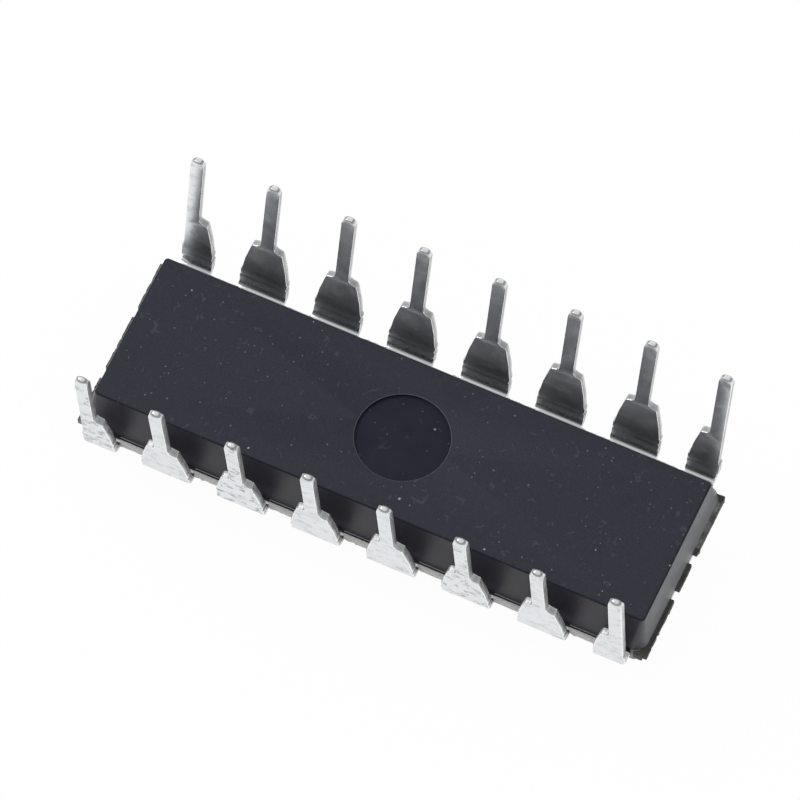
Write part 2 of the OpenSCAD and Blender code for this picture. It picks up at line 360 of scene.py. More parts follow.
class Paint(Graph):
    """The graph of a material with one Principled shader."""

    def __init__(self, name: str, **plain: float) -> None:
        """Starts a material.

        Args:
            name: The material's name.
            plain: Values of the shader's own sockets, with underscores for spaces.
        """
        self.material = bpy.data.materials.new(name)
        self.material.use_nodes = True
        super().__init__(self.material.node_tree)
        self.shader = self.add("BsdfPrincipled")
        self.add("OutputMaterial", {"Surface": self.shader.outputs[0]})
        self.give(**plain)

    def give(self, **values: Any) -> None:
        """Feeds the shader's sockets, named with underscores for spaces."""
        for label, value in values.items():
            self.feed(self.shader.inputs[label.replace("_", " ")], value)

    def millimetres(self) -> Value:
        """Object coordinates in millimetres."""
        place = self.out("TexCoord", which="Object")
        return self.out("VectorMath", {0: place, "Scale": 1.0 / MM}, operation="SCALE")

    def own(self, name: str, which: str = "Fac") -> Value:
        """One of the piece's own attributes."""
        return self.out("Attribute", which=which, attribute_name=name)

    def effect(self, which: Effect, place: Value, **inputs: float) -> dict[str, Value]:
        """Places a shared effect, and builds its group the first time.

        Args:
            which: The effect.
            place: Where it is read.
            inputs: What its other sockets hold, by name.

        Returns:
            Its outputs by name.
        """
        tree = bpy.data.node_groups.get(which.value) or effect_group(which)
        return self.values(self.add("Group", {"Vector": place, **inputs}, node_tree=tree))

    def bump(self, height: Value, distance: float, strength: float) -> Value:
        """A normal from a height, where 1 is a distance in millimetres."""
        return self.out("Bump", {"Height": height, "Distance": distance * MM, "Strength": strength})


@dataclass(frozen=True)
class MouldedEpoxy:
    """Filled epoxy as it leaves the mould: fine grain on the belly, smoother draft walls, a painted sheen on
    the end walls, painted highlights on the parting ledge and ejector rim, and a painted dark reflection
    round the belly's rim.
    """

    name: str = "moulded_epoxy"
    face: Colour = (0.021, 0.022, 0.038)
    face_light: Colour = (0.029, 0.031, 0.049)
    face_dark: Colour = (0.010, 0.010, 0.020)
    wall: Colour = (0.015, 0.0145, 0.023)
    # Dark ejector mark; also a painted dark reflection on the belly's rounded rim.
    recess: Colour = (0.001, 0.002, 0.014)
    # Painted sheen: end walls lighter than the long walls.
    end: Colour = (0.101, 0.104, 0.113)
    # Painted light on the end walls by the parting line, lifting the flash's shade.
    painted_foot_sheen: Colour = (0.195, 0.199, 0.212)
    foot_z: tuple[float, float] = (2.55, 2.0)
    parting_z: tuple[float, float] = (1.97, 1.99)
    # Filler specks; also the painted highlight on the parting ledge and ejector rim.
    filler_and_highlight: Colour = (0.34, 0.35, 0.38)

    def build(self) -> Material:
        """Makes the material.

        Returns:
            The material.
        """
        paint = Paint(self.name, IOR=1.5, Specular_IOR_Level=0.35, Coat_IOR=1.5, Coat_Roughness=0.42)
        place = paint.millimetres()
        height = paint.out("SeparateXYZ", {0: place}, which="Z")
        smooth, recess, lip, end = (paint.own(name) for name in ("smooth", "recess", "lip", "end"))
        grain = paint.effect(Effect.GRAIN, place, Fine=21.0, Coarse=0.9)
        specks = paint.effect(Effect.SPECKS, place, Scale=2.6, Radius=0.085, Share=0.2)["Mask"]
        dots = paint.effect(Effect.SPECKS, place, Scale=6.0, Radius=0.15, Share=0.22)["Mask"]
        stains = paint.effect(Effect.STAINS, place, Scale=0.5, Share=0.45)["Mask"]
        hairs = paint.effect(Effect.SCRATCHES, place, Across=1.3, Along=0.9, Share=0.4, Width=0.03)["Mask"]
        # Painted light, strongest at the end walls' foot by the parting line.
        foot = height.span(*self.foot_z)
        painted_end_sheen = paint.mix(self.end, (foot * foot, self.painted_foot_sheen))
        matt = 1.0 - smooth * 0.8 - recess * 0.45
        colour = paint.mix(
            self.face,
            (grain["Variation"], self.face_light),
            (stains * 0.3, self.face_dark),
            (grain["Height"].span(0.3, 0.75, 0.75, 0.0), self.face_dark),
            (smooth, self.wall),
            # Dark ejector mark, and painted dark reflection on the belly's rounded rim.
            (recess, self.recess),
            # Painted sheen on the end walls above the parting line.
            (end * smooth, paint.mix(self.wall, (height.span(*self.parting_z), painted_end_sheen))),
            (specks * matt | dots * 0.3 * matt | hairs * 0.07 * matt, self.filler_and_highlight),
            # Painted highlight on the parting ledge and the ejector mark's rim.
            (lip * 0.5, self.filler_and_highlight),
        )
        paint.give(
            Base_Color=colour,
            Roughness=grain["Variation"] * 0.1 + 0.6 - smooth * 0.2,
            Coat_Weight=smooth * (0.55 - end * 0.45),
            Normal=paint.bump(grain["Height"] * matt, 0.03, 0.75),
        )
        return paint.material


@dataclass(frozen=True)
class MouldFlash:
    """Thin resin that ran out along the parting line, broken off rough or trimmed."""

    name: str = "broken_flash"
    resin: Colour = (0.036, 0.032, 0.030)
    light: Colour = (0.26, 0.27, 0.25)

    def build(self) -> Material:
        """Makes the material.

        Returns:
            The material.
        """
        paint = Paint(self.name, IOR=1.5, Specular_IOR_Level=0.35)
        place = paint.millimetres()
        grain = paint.effect(Effect.GRAIN, place, Fine=16.0, Coarse=2.4)
        stains = paint.effect(Effect.STAINS, place, Scale=1.6, Share=0.5)["Mask"]
        patch = stains * 0.12 | paint.own("pale") * grain["Height"].span(0.3, 0.5)
        paint.give(
            Base_Color=paint.mix(self.resin, (patch, self.light)),
            Roughness=grain["Variation"] * 0.25 + 0.5,
            Normal=paint.bump(grain["Height"], 0.04, 0.9),
        )
        return paint.material


@dataclass(frozen=True)
class TinPlate:
    """Bright tin over a stamped and formed strip, with what the tools left on it, and painted highlights and
    shade on its inner faces, rims, root and tip.
    """

    name: str = "tin_plate"
    tin: Colour = (0.77, 0.79, 0.805)
    # Painted highlight colour, for rims, inner faces, root and tip.
    bright: Colour = (0.95, 0.955, 0.96)
    # Dull tin for stains, also the painted shade by the shoulder.
    dull: Colour = (0.52, 0.53, 0.54)
    cut: Colour = (0.62, 0.625, 0.63)
    # Torn metal; also the painted shade band where the bend starts.
    torn: Colour = (0.34, 0.345, 0.35)
    dirt: Colour = (0.055, 0.052, 0.050)
    # Painted shade colour round the tapered tip.
    hollow: Colour = (0.15, 0.153, 0.157)
    resin: Colour = (0.010, 0.010, 0.012)
    bleed_s: float = -0.04

    def build(self) -> Material:
        """Makes the material.

        Returns:
            The material.
        """
        paint = Paint(self.name)
        place = paint.own("blank", "Vector")
        along = paint.out("SeparateXYZ", {0: place}, which="Y")
        names = ("sheared", "rim", "scuff", "nose", "collar", "depth")
        sheared, rim, scuff, nose, collar, depth = (paint.own(name) for name in names)
        crease = paint.own("crease") * depth.span(0.6, 0.95)
        grain = paint.effect(Effect.GRAIN, place, Fine=24.0, Coarse=2.0)
        drawn = paint.effect(Effect.SCRATCHES, place, Across=9.0, Along=0.5, Share=0.52)["Streaks"]
        dashes = paint.effect(Effect.SCRATCHES, place, Across=1.8, Along=8.0, Share=0.47, Width=0.1)["Mask"]
        marks = paint.effect(Effect.SCRATCHES, place, Across=2.6, Along=3.4, Share=0.46, Width=0.05)["Mask"]
        stains = paint.effect(Effect.STAINS, place, Scale=1.6, Share=0.42)["Mask"]
        specks = paint.effect(Effect.SPECKS, place, Scale=3.0, Radius=0.16, Share=0.25)["Mask"]
        pits = paint.effect(Effect.SPECKS, place, Scale=5.0, Radius=0.13, Share=0.2)["Mask"]
        flat = 1.0 - sheared
        inner = depth.span(0.2, 0.05)
        leg = along.span(0.9, 2.2)
        # Painted shade: inner face darker at the shoulder, where it faces the dark body.
        shade = leg.span(0.0, 1.0, 0.65, 0.0) * along.span(0.45, 0.75, 0.1)
        edge = depth + (grain["Variation"] - 0.5) * 0.3
        shear = paint.mix(
            self.cut, (edge.span(0.55, 0.7, 1.0, 0.0), self.torn), (drawn.span(0.45, 0.6), self.cut)
        )
        lines = (dashes | pits) * flat * (scuff * 0.9 + 0.08)
        dark = (marks | specks) * scuff * scuff.span(0.3, 0.8)
        # Painted shade band across the inner face where the bend starts.
        painted_bend_shade = along.span(0.08, 0.11) * along.span(0.24, 0.17, 0.0, 0.65)
        # Painted highlight on the tip's flat end.
        painted_tip_highlight = nose.span(0.9, 0.98)
        uneven = along + grain["Height"] * 0.04
        bleed = uneven.span(self.bleed_s - 0.01, self.bleed_s + 0.01, 1.0, 0.0)
        colour = paint.mix(
            self.tin,
            (stains * 0.5, self.dull),
            # Painted shade on the inner face at the shoulder.
            (inner * shade, self.dull),
            # Painted reflection: inner face lighter up the leg, towards open sky.
            (inner * leg * 0.55, self.bright),
            (sheared, shear),
            (lines, self.torn),
            (crease * stains.span(0.0, 0.6, 0.25, 0.9) * flat, self.torn),
            (dark * 0.8, self.dirt),
            # Painted highlight along the rounded rims.
            (rim * 0.85, self.bright),
            (collar, self.torn),
            # Painted highlight on the root's upper face next to the body.
            (inner * along.span(0.1, 0.04), self.bright),
            # Painted shade band where the bend starts.
            (inner * painted_bend_shade, self.torn),
            # Painted shade round the tapered tip.
            (nose.span(0.35, 0.7, 0.0, 0.72), self.hollow),
            # Painted highlight on the tip's flat end.
            (painted_tip_highlight, self.bright),
            (bleed, self.resin),
        )
        rough = grain["Variation"] * 0.06 + 0.38 + stains * 0.08 - sheared * 0.08
        height = grain["Height"] * 0.3 + drawn * 0.15 - (lines | crease) * 0.5
        paint.give(
            Base_Color=colour,
            Metallic=(1.0 - sheared * 0.5) * (1.0 - bleed),
            Roughness=rough - (rim | painted_tip_highlight) * 0.16 - uneven.span(0.45, 0.2, 0.0, 0.26),
            Normal=paint.bump(height, 0.006, 0.6),
        )
        return paint.material


@dataclass(frozen=True)
class FrameMetal:
    """Bare strip of the lead frame, as on the paddle and its tie bars."""

    name: str = "frame_metal"
    bright: Colour = (0.40, 0.385, 0.37)
    dull: Colour = (0.26, 0.25, 0.245)

    def build(self) -> Material:
        """Makes the material.

        Returns:
            The material.
        """
        paint = Paint(self.name, Metallic=1.0)
        place = paint.millimetres()
        grain = paint.effect(Effect.GRAIN, place, Fine=18.0, Coarse=1.2)
        rolled = paint.effect(Effect.SCRATCHES, place, Across=0.6, Along=8.0, Share=0.5)["Mask"]
        paint.give(
            Base_Color=paint.mix(self.bright, (grain["Variation"], self.dull), (rolled * 0.4, self.dull)),
            Roughness=grain["Variation"] * 0.15 + 0.3,
            Normal=paint.bump(grain["Height"], 0.005, 0.6),
        )
        return paint.material


@dataclass(frozen=True)
class InnerFinish:
    """A finish inside the moulding: one metal or filled resin with its grain and stains."""

    name: str
    light: Colour
    dark: Colour
    metal: float
    roughness: float

    def build(self) -> Material:
        """Makes the material.

        Returns:
            The material.
        """
        paint = Paint(self.name, Metallic=self.metal)
        place = paint.millimetres()
        grain = paint.effect(Effect.GRAIN, place, Fine=30.0, Coarse=3.0)
        stains = paint.effect(Effect.STAINS, place, Scale=2.0, Share=0.4)["Mask"]
        share = (grain["Variation"] + stains) * 0.5
        paint.give(
            Base_Color=paint.mix(self.light, (share, self.dark)),
            Roughness=share * 0.15 + self.roughness,
            Normal=paint.bump(grain["Height"], 0.003, 0.5),
        )
        return paint.material


# Pieces


def add_object(name: str, data: bpy.types.ID) -> Object:
    """Puts a new object in the scene.

    Args:
        name: The object's name.
        data: Its mesh, camera or lamp.

    Returns:
        The object.
    """
    obj = bpy.data.objects.new(name, data)
    bpy.context.scene.collection.objects.link(obj)
    return obj


def new_mesh(name: str, bm: BMesh, scale: float = 1.0) -> bpy.types.Mesh:
    """Turns a bmesh into a mesh, and frees it.

    Args:
        name: The mesh's name.
        bm: What it is made of.
        scale: What its sizes are multiplied by.

    Returns:
        The mesh.
    """
    bmesh.ops.scale(bm, vec=(scale, scale, scale), verts=bm.verts)
    mesh = bpy.data.meshes.new(name)
    bm.to_mesh(mesh)
    bm.free()
    return mesh


def make_piece(name: str, bm: BMesh, material: Material, slot: str) -> Object:
    """Turns a finished bmesh in millimetres into a piece that rides on the frame.

    Args:
        name: The piece's name.
        bm: Its mesh, which is freed.
        material: Its finish.
        slot: A material slot name, which is only written to the log.

    Returns:
        The new object.
    """
    mesh = new_mesh(name, bm, MM)
    mesh.polygons.foreach_set("use_smooth", [True] * len(mesh.polygons))
    mesh.set_sharp_from_angle(angle=math.radians(SHARP))
    mesh.materials.append(material)
    obj = add_object(name, mesh)
    weight = obj.modifiers.new("face_weights", "WEIGHTED_NORMAL")
    weight.keep_sharp = True
    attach(obj, BODY)
    log.info("%s: %d faces, slot %s", name, len(mesh.polygons), slot)
    return obj


def cut_across(bm: BMesh, places: Iterable[float], axis: int, beyond: float = -math.inf) -> None:
    """Cuts a mesh by planes square to an axis, and keeps both sides.

    Args:
        bm: The mesh.
        places: Where the planes stand on the axis.
        axis: The axis, from 0 to 2.
        beyond: Only the faces whose middle is past this Y are cut.
    """
    normal = Vector((0.0, 0.0, 0.0))
    normal[axis] = 1.0
    for place in places:
        faces = [f for f in bm.faces if f.calc_center_median().y > beyond]
        parts = dict.fromkeys(part for f in faces for part in (f, *f.edges, *f.verts))
        bmesh.ops.bisect_plane(bm, geom=list(parts), dist=1e-5, plane_co=normal * place, plane_no=normal)


def bevel(bm: BMesh, geom: list[Any], offset: float, segments: int, affect: str = "EDGES") -> None:
    """Rounds edges or vertices.

    Args:
        bm: The mesh.
        geom: What is rounded.
        offset: How far from it the rounding starts.
        segments: How many steps it has.
        affect: Whether edges or vertices are meant.
    """
    bmesh.ops.bevel(
        bm, geom=geom, offset=offset, offset_type="OFFSET", affect=affect, segments=segments,
        profile=0.5, material=-1,
    )


def close_and_turn_out(bm: BMesh) -> None:
    """Merges vertices that a cut or a bevel left on one another, and turns every face outward.

    Args:
        bm: A closed mesh of one shell.
    """
    bmesh.ops.remove_doubles(bm, verts=bm.verts, dist=MERGE)
    bmesh.ops.recalc_face_normals(bm, faces=bm.faces)
    if bm.calc_volume(signed=True) < 0.0:
        bmesh.ops.reverse_faces(bm, faces=bm.faces)
    bm.normal_update()


def steps(low: float, high: float, count: int) -> list[float]:
    """Evenly spaced values from low to high, both included."""
    return [low + (high - low) * i / (count - 1) for i in range(count)]


def ragged(point: Vector, scale: float, amount: float) -> Vector:
    """A small shift that changes from place to place, as often as the scale says."""
    return noise.noise_vector(point * scale) * amount


@dataclass
class MouldedBody:
    """The two moulded halves with the ejector pin mark, the index notch and the flash."""

    sizes: Sizes = SIZES
    side_draft: float = 21.0
    end_draft: float = 11.5
    belly_end_draft: float = 9.5
    corner_r: float = 0.22
    belly_corner_r: float = 0.12
    parting_corner_r: float = 0.48
    corner_steps: int = 8
    edge_r: float = 0.05
    edge_steps: int = 3
    parting_step: float = 0.035
    end_step: float = 0.005
    ejector_d: float = 3.0
    ejector_depth: float = 0.1
    notch_r: float = 0.8
    notch_depth: float = 0.6
    side_flash: float = 0.16
    groove: float = 0.045
    groove_depth: float = 0.12
    ridge_in: float = 0.055
    end_flash: float = 0.15
    torn_span: tuple[float, float] = (0.95, 2.7)
    far_back: float = 0.14
    near_back: float = 0.02
    corner_run: float = 0.28
    corner_out: float = 0.07
    tie_gap: float = 0.4
    tie_shift: float = 0.08
    tie_spacing: dict[End, float] = field(default_factory=lambda: {End.NOTCH: 2.35, End.PLAIN: 1.35})
    root_in: float = 0.15
    overlap: float = 0.02
    flash_step: float = 0.07
    flash_bevel: float = 0.015
    mark_bevel: float = 0.02

    def ring(self, bm: BMesh, z: float, in_x: float, in_y: float, radius: float) -> list[bmesh.types.BMVert]:
        """Adds the body's outline at one height, with rounded corners.

        Args:
            bm: The mesh it is added to, with a vertex layer named end.
            z: Its height.
            in_x: How far its ends are drawn in from the parting line.
            in_y: How far its long sides are drawn in.
            radius: Radius of its corners.

        Returns:
            Its vertices in order, from the plain end round by the far side.
        """
        half_x, half_y = self.sizes.end_x - in_x - radius, self.sizes.wall_y - in_y - radius
        layer = bm.verts.layers.float["end"]
        verts = []
        for quarter, (sx, sy) in enumerate(((1, 1), (-1, 1), (-1, -1), (1, -1))):
            for i in range(self.corner_steps + 1):
                angle = math.radians(90 * (quarter + i / self.corner_steps))
                x, y = sx * half_x + radius * math.cos(angle), sy * half_y + radius * math.sin(angle)
                vert = bm.verts.new((x, y, z))
                vert[layer] = abs(math.cos(angle)) ** 3
                verts.append(vert)
        return verts

    def rim(self, drafts: tuple[float, float], height: float, radius: float) -> list[tuple[float, ...]]:
        """The rounded rim between a half's walls and its flat face.

        Args:
            drafts: How much its ends and its long sides come in for each unit of height.
            height: The half's height.
            radius: Radius of its upright corners there.

        Returns:
            For each ring, its height in the half, how far it is drawn in on X and Y, and its radius.
        """
        rings = []
        for i in range(self.edge_steps + 1):
            angle = math.radians(90 * i / self.edge_steps)
            over = self.edge_r * (1 - math.cos(angle))
            up = height - self.edge_r * (1 - math.sin(angle))
            base = height - self.edge_r
            rings.append((up, base * drafts[0] + over, base * drafts[1] + over, radius - over * 0.6))
        return rings

    def block(self) -> BMesh:
        """The block of both halves, its corners and edges rounded, with a ledge at the parting line.

        Returns:
            Its mesh.
        """
        s = self.sizes
        bm = bmesh.new()
        bm.verts.layers.float.new("end")
        drafts = (self.end_draft, self.belly_end_draft, self.side_draft)
        cap_x, belly_x, side = (math.tan(math.radians(draft)) for draft in drafts)
        below = self.rim((cap_x, side), s.cap_h, self.corner_r)
        above = self.rim((belly_x, side), s.belly_h, self.belly_corner_r)
        cap = [(s.frame_low - up, *rest) for up, *rest in reversed(below)]
        belly = [(s.frame_high + up, *rest) for up, *rest in above]
        parting = [
            (s.frame_low, 0.0, 0.0, self.parting_corner_r),
            (s.frame_high, 0.0, 0.0, self.parting_corner_r),
            (s.frame_high, self.end_step, self.parting_step, self.parting_corner_r),
        ]
        rings = [self.ring(bm, *level) for level in (*cap, *parting, *belly)]
        for low, high in zip(rings, rings[1:]):
            for i, vert in enumerate(low):
                j = (i + 1) % len(low)
                bm.faces.new((vert, low[j], high[j], high[i]))
        bm.faces.new(list(reversed(rings[0])))
        bm.faces.new(rings[-1])
        return bm

    def sink_ejector(self, bm: BMesh) -> None:
        """Sinks the ejector pin mark in the belly.

        Args:
            bm: The block's mesh.
        """
        s = self.sizes
        top = max(bm.faces, key=lambda f: (f.calc_center_median().z, f.calc_area()))
        rim_edges = list(top.edges)
        bmesh.ops.delete(bm, geom=[top], context="FACES_ONLY")
        ring = bmesh.ops.create_circle(
            bm, segments=96, radius=self.ejector_d / 2, matrix=Matrix.Translation((0, 0, s.belly_z))
        )["verts"]
        ring_edges = [e for e in bm.edges if e.verts[0] in ring and e.verts[1] in ring]
        bmesh.ops.triangle_fill(bm, edges=rim_edges + ring_edges, use_beauty=True, normal=(0, 0, 1))
        inner = [e for e in bm.edges if e.is_boundary]
        sunk = bmesh.ops.extrude_edge_only(bm, edges=inner)["geom"]
        low = [v for v in sunk if isinstance(v, bmesh.types.BMVert)]
        bmesh.ops.translate(bm, vec=(0, 0, -self.ejector_depth), verts=low)
        bmesh.ops.edgeloop_fill(bm, edges=[e for e in bm.edges if e.is_boundary])
        bevel(bm, [e for e in ring_edges if e.is_valid], self.mark_bevel, 2)

    def cut_notch(self, obj: Object) -> None:
        """Cuts the index notch in the notch end of the marked half.

        Args:
            obj: The body's object.
        """
        s = self.sizes
        bm = bmesh.new()
        radius = self.notch_r + s.cap_h * math.tan(math.radians(self.end_draft))
        bmesh.ops.create_cone(
            bm, cap_ends=True, segments=64, radius1=radius, radius2=radius, depth=1 + self.notch_depth,
            matrix=Matrix.Translation((-s.end_x, 0, (self.notch_depth - 1) / 2)),
        )
        mesh = new_mesh("notch_cutter", bm, MM)
        cutter = add_object("notch_cutter", mesh)
        weights = obj.modifiers[0]
        weights.show_viewport = False
        cut = obj.modifiers.new("notch", "BOOLEAN")
        cut.object, cut.operation, cut.solver = cutter, "DIFFERENCE", "EXACT"
        bpy.context.view_layer.update()
        result = obj.evaluated_get(bpy.context.evaluated_depsgraph_get())
        whole, obj.data = obj.data, bpy.data.meshes.new_from_object(result)
        obj.modifiers.remove(cut)
        weights.show_viewport = True
        bpy.data.objects.remove(cutter)
        for spare in (mesh, whole):
            bpy.data.meshes.remove(spare)

    def build_body(self, material: Material) -> None:
        """Builds the moulded block.

        Args:
            material: The epoxy.
        """
        s = self.sizes
        bm = self.block()
        self.sink_ejector(bm)
        close_and_turn_out(bm)
        smooth, recess, lip = (bm.faces.layers.float.new(name) for name in ("smooth", "recess", "lip"))
        mark_r = self.ejector_d / 2 + self.mark_bevel * 1.5
        for f in bm.faces:
            centre = f.calc_center_median()
            down = s.belly_z - centre.z
            inside = centre.z > s.belly_z / 2 and centre.xy.length < mark_r
            edge = not inside and HAIR < down < self.edge_r
            rim = inside and HAIR < down <= self.mark_bevel * 1.25
            ledge = f.normal.z > 0.9 and abs(centre.z - s.frame_high) < HAIR
            f[smooth] = float(abs(f.normal.z) < 0.9 and not inside and not edge)
            # Ejector mark, and the belly's rounded rim for its painted dark reflection.
            f[recess] = float(edge or inside and down > self.mark_bevel * 1.25)
            # Painted highlight: full on the parting ledge, fainter on the ejector mark's rim.
            f[lip] = 1.0 if ledge else 0.4 if rim else 0.0
        obj = make_piece("moulded_body", bm, material, "moulding")
        self.cut_notch(obj)
        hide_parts("package_body")

    def strip(self, low: Vector, high: Vector, seed: float, open_side: int) -> BMesh:
        """One piece of flash: a strip with an uneven outer edge.

        Args:
            low: Its lowest corner.
            high: Its highest corner.
            seed: Where its unevenness is read.
            open_side: The axis that the strip stands out along.

        Returns:
            Its mesh.
        """
        bm = bmesh.new()
        bmesh.ops.create_cube(bm, size=1.0)
        bmesh.ops.scale(bm, vec=high - low, verts=bm.verts)
        bmesh.ops.translate(bm, vec=(low + high) / 2, verts=bm.verts)
        along = 1 - open_side
        outward = 1.0 if (low + high)[open_side] > 0 else -1.0
        edge = high[open_side] if outward > 0 else low[open_side]
        ridge = edge - outward * self.ridge_in
        count = max(4, int((high[along] - low[along]) / self.flash_step))
        cut_across(bm, steps(low[along], high[along], count)[1:-1], along)
        cut_across(bm, steps(low[2], high[2], 4)[1:-1], 2)
        cut_across(bm, (ridge,), open_side)
        for v in bm.verts:
            shift = ragged(v.co + Vector((seed, seed, seed)), 5.0, 0.035)
            if abs(v.co[open_side] - edge) < 1e-4:
                v.co[open_side] -= outward * abs(shift.x)
                v.co.z += shift.z * 0.4
            elif abs(v.co[open_side] - ridge) < 1e-4 and v.co.z > high[2] - 1e-4:
                v.co.z += shift.y * 0.5
        rims = [e for e in bm.edges if len(e.link_faces) == 2 and e.calc_face_angle(0.0) > 1.0]
        bevel(bm, rims, self.flash_bevel, 1)
        close_and_turn_out(bm)
        return bm

    def build_flash(self, name: str, strips: list[BMesh], material: Material, broken: bool) -> None:
        """Joins strips of flash into one piece.

        Args:
            name: The piece's name.
            strips: The strips' meshes, which are freed.
            material: The resin.
            broken: Whether it broke off, and so is pale in places.
        """
        joined = bmesh.new()
        for strip in strips:
            scrap = new_mesh("strip", strip)
            joined.from_mesh(scrap)
            bpy.data.meshes.remove(scrap)
        layer = joined.verts.layers.float.new("pale")
        for v in joined.verts:
            v[layer] = self.end_paleness(v.co) if broken else 0.0
        make_piece(name, joined, material, "moulding")

    def end_paleness(self, point: Vector) -> float:
        """How pale the flash at the ends is: along the body, and on one torn stretch at the plain end.

        Args:
            point: A point of it.

        Returns:
            The paleness, 0 to 1.
        """
        inner = abs(point.x) < self.sizes.end_x + self.end_flash - self.ridge_in + 0.01
        if point.x < 0:
            return 0.75 if inner else 0.0
        if self.torn_span[0] < point.y < self.torn_span[1]:
            patchy = min(max(0.75 + ragged(point, 2.2, 1.6).x, 0.15), 1.0)
            return patchy if inner else 0.3 * patchy
        return 0.1 if inner else 0.0

    def build(self, epoxy: Material, broken: Material, trimmed: Material) -> None:
        """Builds the body and its flash.

        Args:
            epoxy: The body's finish.
            broken: The finish of the flash at the ends.
            trimmed: The finish of the flash between the leads.
        """
        s = self.sizes
        self.build_body(epoxy)
        for row in Row:
            strips = []
            for slot in range(s.leads_a_side - 1):
                left = s.lead_x(slot + 1) + s.root_w / 2 - self.overlap
                right = s.lead_x(slot + 2) - s.root_w / 2 + self.overlap
                for start, stop, top in (
                    (-self.root_in, self.groove + self.overlap / 2, s.frame_high - self.groove_depth),
                    (self.groove, self.side_flash, s.frame_high),
                ):
                    near, far = sorted((row.value * (s.wall_y + start), row.value * (s.wall_y + stop)))
                    low, high = Vector((left, near, s.frame_low)), Vector((right, far, top))
                    strips.append(self.strip(low, high, slot * 3.7 + row.value, 1))
            self.build_flash(f"side_flash_{row.name.lower()}", strips, trimmed, False)
        for end in End:
            strips = []
            half, gap, middle = self.tie_spacing[end] / 2, self.tie_gap / 2, -self.tie_shift
            spans = (
                (self.near_back - s.wall_y, middle - half - gap),
                (middle + gap - half, middle + half - gap),
                (middle + half + gap, s.wall_y - self.far_back),
            )
            near, far = sorted((end.value * (s.end_x - self.root_in), end.value * (s.end_x + self.end_flash)))
            for number, (low_y, high_y) in enumerate(spans):
                low, high = Vector((near, low_y, s.frame_low)), Vector((far, high_y, s.frame_high))
                strips.append(self.strip(low, high, number * 5.3 + end.value, 0))
            if end is End.PLAIN:
                low = Vector((s.end_x - self.corner_run, -s.wall_y - self.corner_out, s.frame_low))
                high = Vector((s.end_x + self.overlap, self.root_in - s.wall_y, s.frame_high))
                strips.append(self.strip(low, high, 2.9, 1))
            self.build_flash(f"end_flash_{end.name.lower()}", strips, broken, True)


